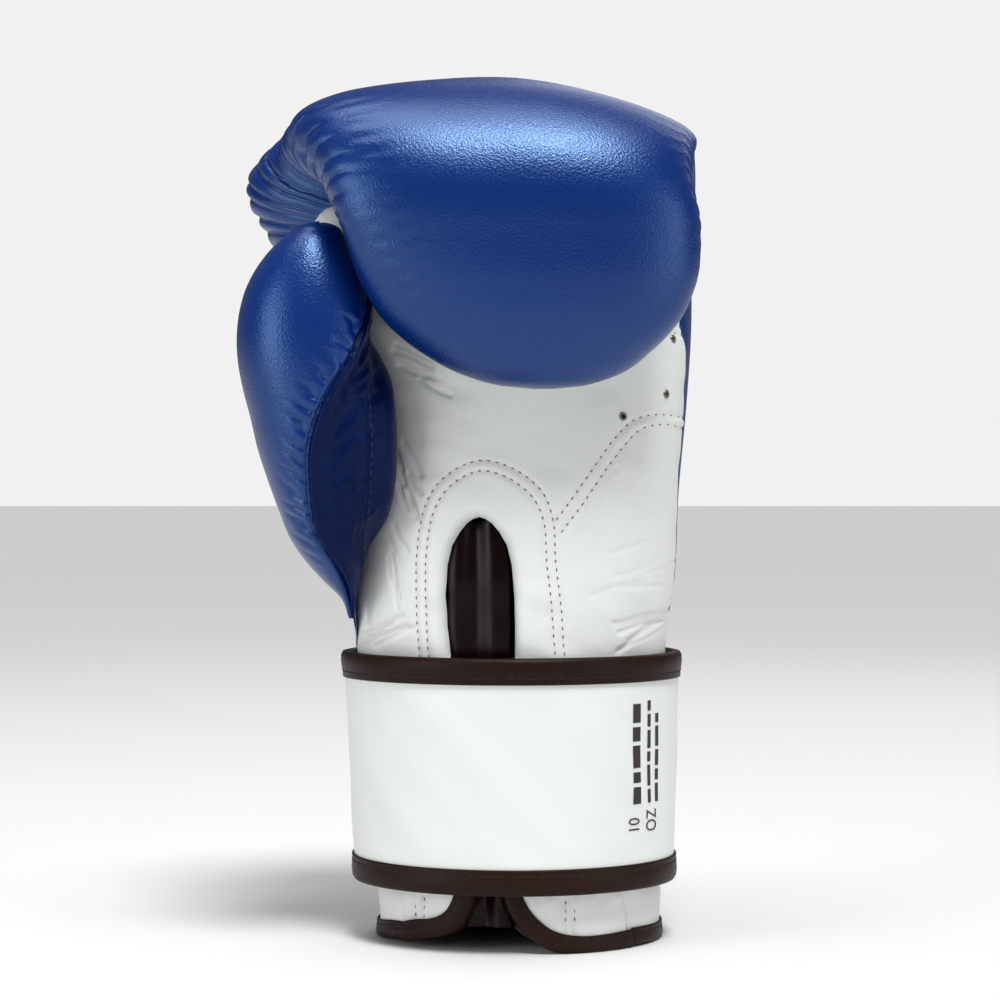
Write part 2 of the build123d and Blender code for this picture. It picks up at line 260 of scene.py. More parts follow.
def leather(name, colour, dark, roughness, grain, pores, strength, shine=0.5, tint=(1, 1, 1)):
    """Leather: a cell grain with fine pores, and a soft change of colour and gloss."""
    material, tree, shader = node_material(name, colour, roughness)
    place = add_node(tree, "ShaderNodeTexCoord").outputs["Object"]
    cells = add_node(tree, "ShaderNodeTexVoronoi", Scale=grain, feature="SMOOTH_F1")
    fine = add_node(tree, "ShaderNodeTexNoise", Scale=pores, Detail=5.0)
    large = add_node(tree, "ShaderNodeTexNoise", Scale=9.0, Detail=3.0)
    for node in (cells, fine, large):
        tree.links.new(place, node.inputs["Vector"])
    mix = add_node(tree, "ShaderNodeMath", operation="MULTIPLY_ADD")
    tree.links.new(fine.outputs["Fac"], mix.inputs[0])
    mix.inputs[1].default_value = 0.7  # the pores' share of the height
    tree.links.new(cells.outputs["Distance"], mix.inputs[2])
    add_bump(tree, shader, mix.outputs[0], strength, 0.00035)
    add_ramp(tree, shader, large.outputs["Fac"], (0.32, dark), (0.68, colour))
    gloss = add_node(tree, "ShaderNodeMapRange")
    gloss.inputs["To Min"].default_value = roughness - 0.05
    gloss.inputs["To Max"].default_value = roughness + 0.07
    tree.links.new(fine.outputs["Fac"], gloss.inputs["Value"])
    tree.links.new(gloss.outputs["Result"], shader.inputs["Roughness"])
    shader.inputs["Specular IOR Level"].default_value = shine
    shader.inputs["Specular Tint"].default_value = (*tint, 1)
    return material


def woven(name, colour, light, pitch, strength, roughness=0.85, sheen=0.25):
    """Cloth, tape or thread: two crossed sets of ribs."""
    material, tree, shader = node_material(name, colour, roughness)
    place = add_node(tree, "ShaderNodeTexCoord").outputs["Object"]
    product = add_node(tree, "ShaderNodeMath", operation="MULTIPLY")
    for k, direction in enumerate(("X", "Z")):
        wave = add_node(tree, "ShaderNodeTexWave", Scale=pitch, Distortion=1.2, bands_direction=direction)
        wave.inputs["Detail Scale"].default_value = 3.0
        tree.links.new(place, wave.inputs["Vector"])
        tree.links.new(wave.outputs["Fac"], product.inputs[k])
    add_bump(tree, shader, product.outputs[0], strength, 0.0004)
    add_ramp(tree, shader, product.outputs[0], (0, colour), (1, light))
    shader.inputs["Sheen Weight"].default_value = sheen
    return material


def metal(name, colour, roughness):
    """Metal with a slightly uneven face."""
    material, tree, shader = node_material(name, colour, roughness)
    shader.inputs["Metallic"].default_value = 1.0
    noise = add_node(tree, "ShaderNodeTexNoise", Scale=900.0, Detail=4.0)
    add_bump(tree, shader, noise.outputs["Fac"], 0.2, 0.0001)
    return material


# Leather: two colours, roughness, size of grain and of pores, and strength of the relief.
BLUE = leather(
    "blue_leather", (0.0004, 0.019, 0.145), (0.0003, 0.013, 0.11), 0.25, 1500, 3600, 0.28,
    shine=0.95, tint=(0.34, 0.60, 1.0),
)
# A darker copy of the blue leather: painted shade for the thumb's inner panel, which faces the palm.
SHADED_BLUE = leather(
    "blue_leather_painted_shade", (0.0004, 0.006, 0.06), (0.0002, 0.004, 0.04), 0.36, 1000, 2600, 0.3,
    shine=0.16, tint=(0.5, 0.7, 1.0),
)
WHITE = leather(
    "white_leather", (0.75, 0.78, 0.755), (0.70, 0.73, 0.705), 0.44, 900, 2200, 0.2, shine=0.4
)
STRAP_WHITE = leather(
    "strap_leather", (0.755, 0.79, 0.765), (0.73, 0.765, 0.74), 0.40, 1500, 3000, 0.07, shine=0.4
)
BROWN = leather(
    "brown_tape", (0.018, 0.0062, 0.0038), (0.012, 0.0038, 0.0024), 0.42, 1300, 2600, 0.3, shine=0.14
)
TONGUE_AND_HOLE_SHADE = leather(
    "tongue_leather_and_hole_shade", (0.006, 0.0008, 0.0004), (0.0035, 0.0004, 0.0002), 0.3, 700, 1800, 0.06, shine=0.16
)
INK = leather("printed_ink", (0.012, 0.009, 0.008), (0.02, 0.016, 0.014), 0.5, 1500, 3000, 0.05)
# Cloth and thread: two colours, pitch of the ribs, and strength of the relief.
LINING = woven("lining_fabric", (0.03, 0.03, 0.034), (0.06, 0.06, 0.066), 420, 0.5)
HOOK = woven("hook_tape", (0.02, 0.02, 0.022), (0.09, 0.09, 0.095), 360, 1.0, 0.6)
LOOP = woven("loop_tape", (0.022, 0.022, 0.026), (0.05, 0.05, 0.055), 900, 0.9, 0.95)
THREAD = woven("thread_dark", (0.12, 0.115, 0.105), (0.22, 0.21, 0.19), 2400, 0.4, sheen=0.05)
TAPE_THREAD = woven("thread_brown", (0.006, 0.003, 0.002), (0.014, 0.007, 0.005), 2400, 0.4, sheen=0.0)
BLUE_THREAD = woven("thread_blue", (0.001, 0.006, 0.05), (0.003, 0.014, 0.09), 2400, 0.4, sheen=0.0)
METAL = metal("eyelet_metal", (0.20, 0.20, 0.16), 0.35)

# ---- the hand's surface
# Along the glove: how far along, origin's height, turn around the curl axis (degrees), centre x,
# half width, near and far distance from the axis, and how much the section's four corners stand
# out: far right, far left, near left, near right.
ALONG = np.array([
    (84, 84, 0, -2.4, 50.9, -18.4, 66.8, 0, 0, 0, 0),
    (100, 100, 0, -2.8, 51.9, -19.0, 67.6, 0, 0, 0, 0),
    (118, 118, 0, -1.9, 53.9, -18.5, 73.0, 0.02, 0.02, 0.03, 0.04),
    (150, 150, 0, -0.5, 54.5, -16.0, 80.0, 0.04, 0.04, 0.05, 0.07),
    (180, 180, 0, -1.0, 57.5, -13.0, 84.0, 0.05, 0.04, 0.05, 0.08),
    (207, 207, 0, -5.5, 64.0, -9.5, 85.0, 0.05, 0.03, 0.02, 0.05),
    (219, 219, 0, -9.0, 68.2, 2.0, 85.0, 0.04, 0.02, 0, 0.02),
    (230, 230, 0, -11.5, 71.3, 11.0, 84.0, 0.03, 0, 0, 0),
    (254, 230, 30, -16.1, 76.2, 11.0, 77.0, -0.03, -0.05, 0, 0),
    (278, 230, 60, -11.0, 69.6, 11.0, 62.4, -0.11, -0.045, 0, 0),
    (302, 230, 90, -9.3, 67.0, 11.0, 53.4, -0.13, -0.005, 0, 0),
    (326, 230, 120, -8.6, 64.2, 11.0, 52.8, -0.02, 0.12, 0, 0),
    (350, 230, 150, -3.9, 58.2, 11.5, 52.5, 0.03, 0.16, 0, 0),
    (374, 230, 180, 0.4, 56.2, 12.0, 50.3, 0.04, 0.13, 0, 0),
    (392, 212, 180, 2.6, 52.0, 12.0, 49.0, 0.03, 0.05, 0, 0),
    (405, 199, 180, 4.0, 44.0, 12.3, 46.0, 0.02, 0.02, 0, 0),
    (412, 192, 180, 5.0, 36.0, 13.4, 42.6, 0, 0, 0, 0),
    (419, 185, 180, 6.2, 24.5, 16.0, 37.6, 0, 0, 0, 0),
    (423, 181.6, 180, 6.8, 13.0, 19.8, 32.6, 0, 0, 0, 0),
    (425, 180.6, 180, 7.2, 2.5, 24.0, 27.2, 0, 0, 0, 0),
], float)
# Where the blue shell meets the white palm, in degrees of a section: right and left.
SEAMS = np.array([
    (84, 6, 187),
    (100, 1, 187),
    (118, -9, 188),
    (150, -15, 190),
    (180, -18, 196),
    (207, -28, 208),
    (219, -40, 220),
    (230, -50, 230),
    (254, -56, 236),
    (350, -54, 234),
    (412, -48, 228),
    (425, -46, 226),
], float)


def hand_point(s, phi):
    """A point of the hand's and fist's outer surface. s runs along the glove, phi is in degrees."""
    s, phi = np.broadcast_arrays(np.asarray(s, float), np.asarray(phi, float))
    z0 = np.interp(s, ALONG[:, 0], ALONG[:, 1])
    turn = np.radians(np.interp(s, ALONG[:, 0], ALONG[:, 2]))
    cx, half, near, far = table_at(ALONG, s, 3, 4, 5, 6)
    a = np.radians(phi)
    out = np.ones_like(a)
    for centre, amount in zip((45, 135, 225, 315), table_at(ALONG, s, 7, 8, 9, 10)):
        away = np.abs((phi - centre + 180) % 360 - 180)
        corner = np.where(away < 45, np.cos(np.radians(2 * np.minimum(away, 45))) ** 2, 0)
        out += amount * corner
    x = cx + half * np.cos(a) * out
    v = (near + far) / 2 + (far - near) / 2 * np.sin(a) * out
    return np.stack([x, CURL_Y + v * np.cos(turn), z0 + v * np.sin(turn)], axis=-1)


def front_phi(s, x):
    """The angle on the palm side at which the section at s (below the curl) reaches x."""
    low, high = np.full(np.shape(x), 180.0), np.full(np.shape(x), 360.0)
    for _ in range(26):  # each pass halves the gap
        middle = (low + high) / 2
        less = hand_point(s, middle)[..., 0] < x
        low, high = np.where(less, middle, low), np.where(less, high, middle)
    return (low + high) / 2


PALM_START, SLOT_TOP = 93, 140.5
# Height, left x, right x of the wrist slot.
SLOT_EDGES = np.array([
    (0, -13.5, -5.5),
    (20, -14.5, -6.0),
    (60, -18.5, -4.5),
    (95, -23.6, -1.6),
    (105, -25.0, -1.6),
    (115, -25.3, -1.9),
    (125, -24.6, -2.8),
    (131.4, -23.0, -4.4),
    (135.7, -20.4, -7.0),
    (138.5, -17.9, -9.5),
    (139.8, -15.9, -11.5),
    (140.5, -13.75, -13.65),
], float)


def slot_edge(z, side):
    return np.interp(z, SLOT_EDGES[:, 0], SLOT_EDGES[:, 1 if side == "left" else 2])


# Stitched lines of the palm, as (x, z) seen from the front.
ARCH = rounded(
    [(-32.5, 94), (-33.5, 112), (-33.2, 130), (-31, 143), (-26, 151.5), (-19, 156.5), (-12.5, 158.3)]
    + [(-5, 156.8), (2, 153), (7.5, 147.5), (10.3, 140), (11.3, 126), (13.2, 110), (14.2, 94)],
    60,
)
ARCH_INNER = rounded(
    [(-29.6, 94), (-30.4, 112), (-30.1, 130), (-28, 141.5), (-23.6, 149), (-17.8, 153.4), (-12.5, 155.0)]
    + [(-6.3, 153.7), (0, 150.2), (4.9, 145.2), (7.4, 139), (8.4, 126), (10.2, 110), (11.2, 94)],
    60,
)
DIAGONAL = rounded(
    [(11.0, 138.5), (18, 148), (25, 158), (31, 166), (37, 171.5), (46, 173.5), (55, 172.8)], 30
)
DIAGONAL_LOWER = rounded(
    [(12.6, 134.6), (20.8, 145.4), (28, 155.8), (33.6, 163), (38.8, 168.3), (46.6, 170.3)]
    + [(55, 169.4)],
    30,
)
CROSS_SEAM = rounded([(44.5, 203.2), (50, 203.6), (56, 203.0)], 8)
CROSS_SEAM_LOWER = rounded([(45, 200.4), (50, 200.8), (56, 200.2)], 8)
SEAM_LINES = [ARCH, ARCH_INNER, DIAGONAL, DIAGONAL_LOWER, CROSS_SEAM, CROSS_SEAM_LOWER]


def crease_lines():
    """Short creases of the palm's leather, in bunches: place, spread, lean, length, how many, depth."""
    lines = []
    for x, z, across, up, lean, length, count, size in (
        (-31, 187, 5, 7, -28, 15, 7, 0.8),
        (-37, 152, 3, 14, -62, 12, 8, 0.75),
        (-39, 124, 3, 10, -70, 9, 6, 0.6),
        (-44, 102, 5, 4, 25, 14, 5, 0.7),
        (41, 104, 8, 4, 22, 18, 6, 0.6),
        (40, 126, 9, 10, 14, 16, 5, 0.3),
        (33, 148, 9, 5, 40, 14, 4, 0.35),
        (20, 196, 18, 4, 4, 22, 4, 0.3),
    ):
        for _ in range(count):
            cx, cz = x + RNG.uniform(-across, across), z + RNG.uniform(-up, up)
            angle, half = math.radians(lean + RNG.uniform(-13, 13)), length * RNG.uniform(0.3, 0.6)
            bend = RNG.uniform(-0.12, 0.12) * half
            dx, dz = math.cos(angle), math.sin(angle)
            first, last = (cx - dx * half, cz - dz * half), (cx + dx * half, cz + dz * half)
            path = [first, (cx - dz * bend, cz + dx * bend), last]
            lines.append((path, size * RNG.uniform(0.5, 1.1), RNG.uniform(0.45, 0.9)))
    return lines


CREASES = crease_lines()


def palm_relief(points):
    """How far the palm's leather stands out: seams pull it in, and creases cross it."""
    x, z = points[..., 0], points[..., 2]
    relief = np.zeros_like(x)
    for line in SEAM_LINES:
        relief -= 0.42 * bell(path_distance(x, z, line), 0.75)
    between = path_distance(x, z, np.array([(18, 146), (30, 163), (38, 169.8), (54, 171)]))
    relief += 0.35 * bell(between, 1.4)
    for line, size, width in CREASES:
        relief -= size * bell(path_distance(x, z, line), width)
    relief += 0.6 * wobble(x + 0.4 * z, 5, 45) * wobble(z, 6, 32)
    return relief


# ---- blue shell of the fist
def shell_grid():
    along = np.concatenate([np.linspace(86, 205, 78, endpoint=False), np.linspace(205, 425, 330)])
    across = np.linspace(0, 1, 250)
    s = along[:, None]
    right, left = table_at(SEAMS, s, 1, 2)
    share = across[None, :]
    phi = right + (left - right) * share
    points = hand_point(s, phi)
    s, phi = np.broadcast_arrays(s, phi)
    x, z = points[..., 0], points[..., 2]
    # pleats radiate from the curl over the thumb-side end of the fist
    reach = smooth(130, 162, phi) * (1 - 0.35 * smooth(205, 236, phi))
    span = smooth(205, 236, s) * (1 - smooth(352, 378, s))
    where = s + 0.9 * wobble(phi, 3, 50) + 2.0 * wobble(s, 4, 41)
    folds = np.abs(np.sin(math.pi * where / 6.6)) ** 0.5 - 0.65
    depth = 1.9 + 0.6 * wobble(s, 9, 27)
    relief = depth * folds * reach * span
    # shorter wrinkles run on over the ridge, onto the pad's left edge
    ridge = bell(phi - 131, 7) * smooth(262, 290, s) * (1 - smooth(392, 410, s))
    relief += 0.13 * np.sin(2 * math.pi * (s + 1.6 * wobble(phi, 8, 40)) / 5.2) * ridge
    # small wrinkles at the little finger's end
    right_end = bell(phi - 2, 26) * smooth(268, 300, s) * (1 - smooth(366, 392, s))
    wrinkles = np.abs(np.sin(math.pi * (s + 2 * wobble(phi, 21, 40)) / 6.5)) ** 0.7
    relief -= 0.35 * wrinkles * right_end
    # the pad isn't perfectly even
    relief += 0.5 * wobble(s, 31, 120, 2) * wobble(phi, 32, 130, 2)
    # along the palm seam the shell turns in
    edge = np.minimum(share, 1 - share)
    lower = 1 - smooth(222, 240, s)
    relief += 0.96 * lower * (smooth(0.0, 0.02, edge) - 1)
    return lift(points, relief * (1 - smooth(410, 419, s)))


shell = grid_piece("fist_shell", shell_grid(), BLUE, flip=True)

# ---- white palm, with the wrist slot
def palm_half(side):
    """The palm's left or right half, from the seam with the shell to the slot and over it."""
    heights = np.concatenate(
        [
            np.linspace(PALM_START, SLOT_TOP - 9, 65, endpoint=False),
            SLOT_TOP - 9 * (1 - np.linspace(0, 1, 22)) ** 2,
            np.linspace(SLOT_TOP + 0.7, 214, 108),
            np.linspace(215, 424, 60),
        ]
    )
    right, left = table_at(SEAMS, heights, 1, 2)
    middle_x = np.interp(heights, [PALM_START, SLOT_TOP, 207, 430], [-13.6, -13.6, 0, 4])
    middle = front_phi(heights, middle_x)
    inner = middle.copy()
    low = heights < SLOT_TOP
    inner[low] = front_phi(heights[low], slot_edge(heights[low], side))
    t = np.linspace(0, 1, 120)
    t = 0.35 * t + 0.65 * np.sin(t * math.pi / 2)  # closer together near the slot
    start = (left - 1.2) if side == "left" else (right + 360 + 1.2)
    phi = start[:, None] + (inner - start)[:, None] * t[None, :]
    s = np.broadcast_to(heights[:, None], phi.shape)
    points = hand_point(s, phi)
    gap = np.where(
        points[..., 2] < SLOT_TOP + 4,
        path_distance(points[..., 0], points[..., 2], slot_outline()),
        99,
    )
    roll = 4.2
    lip = np.where(gap < roll, roll * (1 - np.sqrt(np.clip(1 - ((roll - gap) / roll) ** 2, 0, 1))), 0)
    sunk = 0.9 * (1 - smooth(0.0, 0.05, t))[None, :]
    relief = palm_relief(points) * (1 - smooth(205, 222, s)) - lip - sunk
    return lift(points, relief if side == "left" else -relief)


def slot_outline():
    low = SLOT_EDGES[SLOT_EDGES[:, 0] > 90]
    return np.concatenate([low[:, [1, 0]], low[::-1][:, [2, 0]]])


palm_left = palm_half("left")
palm_right = palm_half("right")
rows, columns = palm_left.shape[:2]
quads = grid_quads(rows, columns, flip=True) + grid_quads(rows, columns, start=rows * columns)
palm = make_mesh(
    "palm_panel", np.concatenate([palm_left.reshape(-1, 3), palm_right.reshape(-1, 3)]), quads, WHITE
)

# ---- stitches on the palm
def front_frame(path):
    """Points, directions and normals of a path on the palm, given as (x, z)."""
    x, z = path[:, 0], path[:, 1]
    phi = front_phi(z, x)
    here = hand_point(z, phi)
    step = hand_point(z, phi + 0.5) - here
    rise = hand_point(z + 0.5, phi) - here
    normal = unit(np.cross(step, rise))
    normal *= np.where(normal[:, 1:2] > 0, -1, 1)
    return here + normal * palm_relief(here)[:, None], normal


def walk(path, pitch):
    """Evenly spaced points of a path, in (x, z)."""
    path = np.asarray(path, float)
    lengths = np.concatenate([[0], np.cumsum(np.hypot(*np.diff(path, axis=0).T))])
    at = np.arange(pitch / 2, lengths[-1], pitch)
    return np.column_stack([np.interp(at, lengths, path[:, k]) for k in range(2)])


centres, directions, normals = [], [], []
for line in SEAM_LINES:
    here, normal = front_frame(walk(line, SEAM_PITCH))
    centres += list(here + normal * 0.1)
    directions += list(np.gradient(here, axis=0))
    normals += list(normal)
palm_stitches = capsules("palm_stitches", centres, directions, normals, SEAM_STITCH, THREAD)

# ---- eyelets
EYELETS = [(50.3, 198.5), (47.6, 180.2), (33.2, 172.6)]
EYELET_SIDES, EYELET_RISE = 20, 0.1
# Distance from an eyelet's middle and height: the hole's floor, a flat dark disk that paints in the hole's
# shade, then the ring.
EYELET_PROFILE = [(0.02, 0.08), (0.75, 0.08), (0.82, 0.3), (1.0, 0.42), (1.25, 0.36), (1.5, -0.15)]


def eyelet(x, z):
    """The points of a pressed metal ring round a flat dark disk: painted shade in place of the hole."""
    here, normal = front_frame(np.array([[x, z]]))
    centre, up = here[0], normal[0]
    side = np.cross(up, (0, 0, 1))
    side /= np.linalg.norm(side)
    other = np.cross(up, side)
    verts = []
    for r, h in EYELET_PROFILE:
        for k in range(EYELET_SIDES):
            a = 2 * math.pi * k / EYELET_SIDES
            middle = centre + up * (h + EYELET_RISE)
            verts.append(middle + side * math.cos(a) * r + other * math.sin(a) * r)
    return verts


ring_verts, ring_faces = [], []
for x, z in EYELETS:
    ring_faces += grid_quads(len(EYELET_PROFILE), EYELET_SIDES, start=len(ring_verts), wrap=True)
    ring_verts += eyelet(x, z)
vents = make_mesh("vent_rings", ring_verts, ring_faces, METAL)
vents.data.materials.append(TONGUE_AND_HOLE_SHADE)
eyelet_faces = (len(EYELET_PROFILE) - 1) * EYELET_SIDES
# The disk's faces take the dark tongue leather: painted shade for the hole.
for face in vents.data.polygons:
    face.material_index = int(face.index % eyelet_faces < EYELET_SIDES)  # the hole

# ---- dark tongue behind the slot
def tongue_grid():
    """Soft glossy leather behind the slot: two rounded folds that turn back at the slot's sides."""
    z = np.concatenate([np.linspace(8, 96, 50, endpoint=False), np.linspace(96, 147, 40)])
    u = np.linspace(-1.45, 1.45, 80)
    zz, uu = np.meshgrid(z, u, indexing="ij")
    middle = np.interp(zz, [8, 20, 60, 100, 147], [-10.6, -10.3, -11.5, -13.2, -13.7])
    heights = [8, 14, 22, 60, 95, 105, 125, 140, 147]
    half = np.interp(zz, heights, [9.5, 8.0, 5.6, 7.2, 11.2, 12.0, 11.4, 9.0, 9.0])
    xx = middle + uu * half
    upper = hand_point(np.maximum(zz, 96), front_phi(np.maximum(zz, 96), xx))[..., 1]
    lower = cuff_point(np.minimum(zz, 100), cuff_front_phi(np.minimum(zz, 100), xx))[..., 1]
    y = np.where(zz > 96, upper, lower)
    depth = 5.2 + 1.3 * bell(uu + 0.1, 0.3) - 0.9 * bell(uu - 0.45, 0.3) - 0.9 * bell(uu + 0.6, 0.25)
    depth += 0.5 * wobble(zz, 14, 60)
    depth = depth + 8.5 * smooth(0.82, 1.2, np.abs(uu)) + 1.2 * smooth(132, 146, zz)
    return np.stack([xx, y + depth, zz], axis=-1)


# ---- cuff
# Height, centre x, half width, near y, far y.
CUFF = np.array([
    (0, 0, 46.6, -38.5, 38.5),
    (22, -0.1, 46.9, -39, 39.5),
    (60, -1.4, 49.2, -40.9, 41.3),
    (100, -2.8, 51.8, -43, 43.5),
], float)


def cuff_point(z, phi, out=0.0):
    z, phi = np.broadcast_arrays(np.asarray(z, float), np.asarray(phi, float))
    cx, half, near, far = table_at(CUFF, z, 1, 2, 3, 4)
    return oval(cx, half, (near + far) / 2, (far - near) / 2, z, phi, out)


def cuff_front_phi(z, x):
    return near_angle(x, *table_at(CUFF, z, 1, 2))


tongue = grid_piece("wrist_gusset", tongue_grid(), TONGUE_AND_HOLE_SHADE)

FLAP_TOP = 92.5
# Where each flap bends, as (height, degrees) at its two ends.
LEFT_HINGE = ((0, 215.0), (100, 237.7))
RIGHT_HINGE = ((0, 321.0), (100, 282.7))


def hinge_phi(z, line):
    (z0, a0), (z1, a1) = line
    return a0 + (a1 - a0) * (z - z0) / (z1 - z0)


# The lower edge of each flap, as (x, z) from its hinge to the slot and up.
LEFT_EDGE = rounded(
    [(-37.6, 2.4), (-33, 4.2), (-28, 5.1), (-23.6, 6.7), (-19.8, 9.6)]
    + [(-16.8, 14.5), (-15.2, 20), (-15.0, 30)],
    60,
)
RIGHT_EDGE = rounded(
    [(36.0, 0.6), (28, 0.1), (20, 0.1), (13.5, 1.0), (7.5, 3.2), (2.2, 7.2)]
    + [(-2.2, 12.6), (-5.0, 19.5), (-5.6, 30)],
    70,
)


def flap_grid(line, edge, side):
    """White leather of a cuff flap, from its lower edge to under the strap."""
    sign = 1 if side == "left" else -1
    share, rise = np.linspace(0, 1, 60), np.linspace(0, 1, 90)
    hinge_low, hinge_top = (float(cuff_point(z, hinge_phi(z, line))[0]) for z in (8.0, FLAP_TOP))
    slot_low, slot_top = float(slot_edge(20, side)) - sign * 1.5, float(slot_edge(FLAP_TOP, side))
    points = np.empty((len(rise), len(share), 3))
    for c, part in enumerate(share):
        x0 = hinge_low + (slot_low - hinge_low) * part
        x1 = hinge_top + (slot_top - hinge_top) * part
        z0 = float(np.interp(sign * x0, sign * edge[:, 0], edge[:, 1])) + 1.5
        z = z0 + (FLAP_TOP - z0) * rise
        x = x0 + (x1 - x0) * (0.1 * rise + 0.9 * smooth(0, 1, rise))
        points[:, c] = cuff_point(z, cuff_front_phi(z, x))
    return points


left_flap_points = flap_grid(LEFT_HINGE, LEFT_EDGE, "left")
right_flap_points = flap_grid(RIGHT_HINGE, RIGHT_EDGE, "right")


def puckered(points, seam_x):
    """Flap leather with its stitched channel and a soft fullness above the binding."""
    x, z = points[..., 0], points[..., 2]
    relief = -0.5 * bell(x - seam_x, 0.9) - 0.5 * bell(x - seam_x - 2.9, 0.9)
    relief = relief + 0.35 * wobble(x, 41, 13) * wobble(z, 42, 17) + 0.5 * bell(z - 17, 7)
    return lift(points, relief)


flap_left = grid_piece("flap_left_leather", puckered(left_flap_points, -34.0), WHITE, flip=True)
flap_right = grid_piece("flap_right_leather", puckered(right_flap_points[:, ::-1], 14.6), WHITE, flip=True)


# A binding's section, as (distance in from the edge, height): outer leg, fold and inner leg.
BINDING_PROFILE = [(5.4, 0.25), (5.4, 0.9), (4.9, 1.1), (4.2, 0.95), (3.2, 1.3), (1.6, 1.5), (0.3, 1.2)]
BINDING_PROFILE += [(-0.7, 0.0), (-1.0, -1.5), (-1.0, -8.0), (-0.4, -9.8), (1.0, -10.4), (5.4, -10.2)]
BINDING_PROFILE += [(5.4, -9.4), (1.2, -8.9), (0.8, -1.0), (1.5, 0.1)]
TAPE_SEAM = 4.2  # the stitches' distance from the edge


def edge_binding(name, edge):
    """Tape folded over a flap's edge, and its stitches."""
    path = np.asarray(edge, float)
    ahead = unit(np.gradient(path, axis=0))
    inward = np.column_stack([-ahead[:, 1], ahead[:, 0]])
    if inward[len(inward) // 2, 1] < 0:
        inward = -inward
    points = np.empty((len(path), len(BINDING_PROFILE), 3))
    for k, (w, h) in enumerate(BINDING_PROFILE):
        place = path + inward * w
        z = np.maximum(place[:, 1], 0.05)
        phi = cuff_front_phi(z, place[:, 0])
        surface = cuff_point(z, phi)
        normal = cuff_point(z, phi, 1.0) - surface
        points[:, k] = surface + normal * h
    piece = grid_piece(name, points, BROWN, wrap=True, caps="first last")
    stops = walk(path + inward * TAPE_SEAM, TAPE_PITCH)
    z = np.maximum(stops[:, 1], 0.1)
    phi = cuff_front_phi(z, stops[:, 0])
    here = cuff_point(z, phi, 1.05)
    up = cuff_point(z, phi, 2.0) - cuff_point(z, phi)
    threads = capsules(
        name + "_stitches", here, np.gradient(here, axis=0), up, TAPE_STITCH, TAPE_THREAD
    )
    return piece, threads


binding_left, binding_left_thread = edge_binding("flap_left_tape", LEFT_EDGE)
binding_right, binding_right_thread = edge_binding("flap_right_tape", RIGHT_EDGE)


def flap_stitches(name, columns_x):
    """Two rows of stitches that run up a flap."""
    centres, directions, normals = [], [], []
    for x in columns_x:
        z = np.arange(11, 26, SEAM_PITCH)
        phi = cuff_front_phi(z, np.full_like(z, x))
        here = cuff_point(z, phi, -0.15)
        centres += list(here)
        directions += list(np.gradient(here, axis=0))
        normals += list(cuff_point(z, phi, 1.0) - cuff_point(z, phi))
    return capsules(name, centres, directions, normals, SEAM_STITCH, THREAD)


stitches_left = flap_stitches("flap_left_stitches", (-34.0, -31.1))
stitches_right = flap_stitches("flap_right_stitches", (14.6, 17.5))


TUCK = 6.0  # how far the cuff's leather runs on under the flaps, in degrees


def cuff_back_grid():
    z = np.linspace(5.5, 94, 60)[:, None]
    runs = [np.linspace(0, 0.04, 14), np.linspace(0.045, 0.955, 130), np.linspace(0.96, 1, 14)]
    share = np.concatenate(runs)[None, :]
    under = TUCK * smooth(10, 16, z)
    start = hinge_phi(z, RIGHT_HINGE) - 360 - under
    end = hinge_phi(z, LEFT_HINGE) + under
    phi = start + (end - start) * share
    points = cuff_point(z, phi)
    tucked = np.minimum(phi - start, end - phi)
    relief = 0.5 * wobble(phi, 51, 70) * wobble(z, 52, 40) + 0.5 * bell(z - 15, 6) - 1.2 * smooth(78, 88, z)
    relief -= 1.1 * (1 - smooth(5.2, 6.4, tucked + TUCK - under))
    return lift(points, relief * np.ones_like(phi))


cuff_back = grid_piece("cuff_leather_back", cuff_back_grid(), WHITE, flip=True)

HEM_PHI = np.linspace(-39.5, 215.5, 150)
# The hem tape's section, as (height, distance out).
HEM_PROFILE = [(5.8, 0.25), (5.8, 0.95), (5.3, 1.1), (4.2, 0.95), (3.2, 1.3), (1.6, 1.45), (0.5, 1.1)]
HEM_PROFILE += [(0.05, 0.2), (0.0, -1.5), (0.0, -9.3), (0.3, -10.8), (1.2, -11.6), (7.2, -11.4)]
HEM_PROFILE += [(7.2, -10.6), (1.6, -10.0), (1.5, 0.0)]


def hem_rise(phi):
    """The hem lifts a little towards the two flaps."""
    return 2.4 * smooth(180, 215.5, phi) + 0.6 * smooth(5, 39.5, -phi)


def hem_grid():
    points = np.empty((len(HEM_PHI), len(HEM_PROFILE), 3))
    for k, (height, out) in enumerate(HEM_PROFILE):
        points[:, k] = cuff_point(height + hem_rise(HEM_PHI), HEM_PHI, out)
    return points


hem = grid_piece("cuff_hem_tape", hem_grid(), BROWN, wrap=True, flip=True, caps="first last")
hem_phi = np.linspace(-37, 213, 74)
hem_here = cuff_point(TAPE_SEAM + hem_rise(hem_phi), hem_phi, 1.0)
hem_up = cuff_point(TAPE_SEAM + hem_rise(hem_phi), hem_phi, 2.0) - hem_here
hem_thread = capsules(
    "cuff_hem_stitches", hem_here, np.gradient(hem_here, axis=0), hem_up, TAPE_STITCH, TAPE_THREAD
)

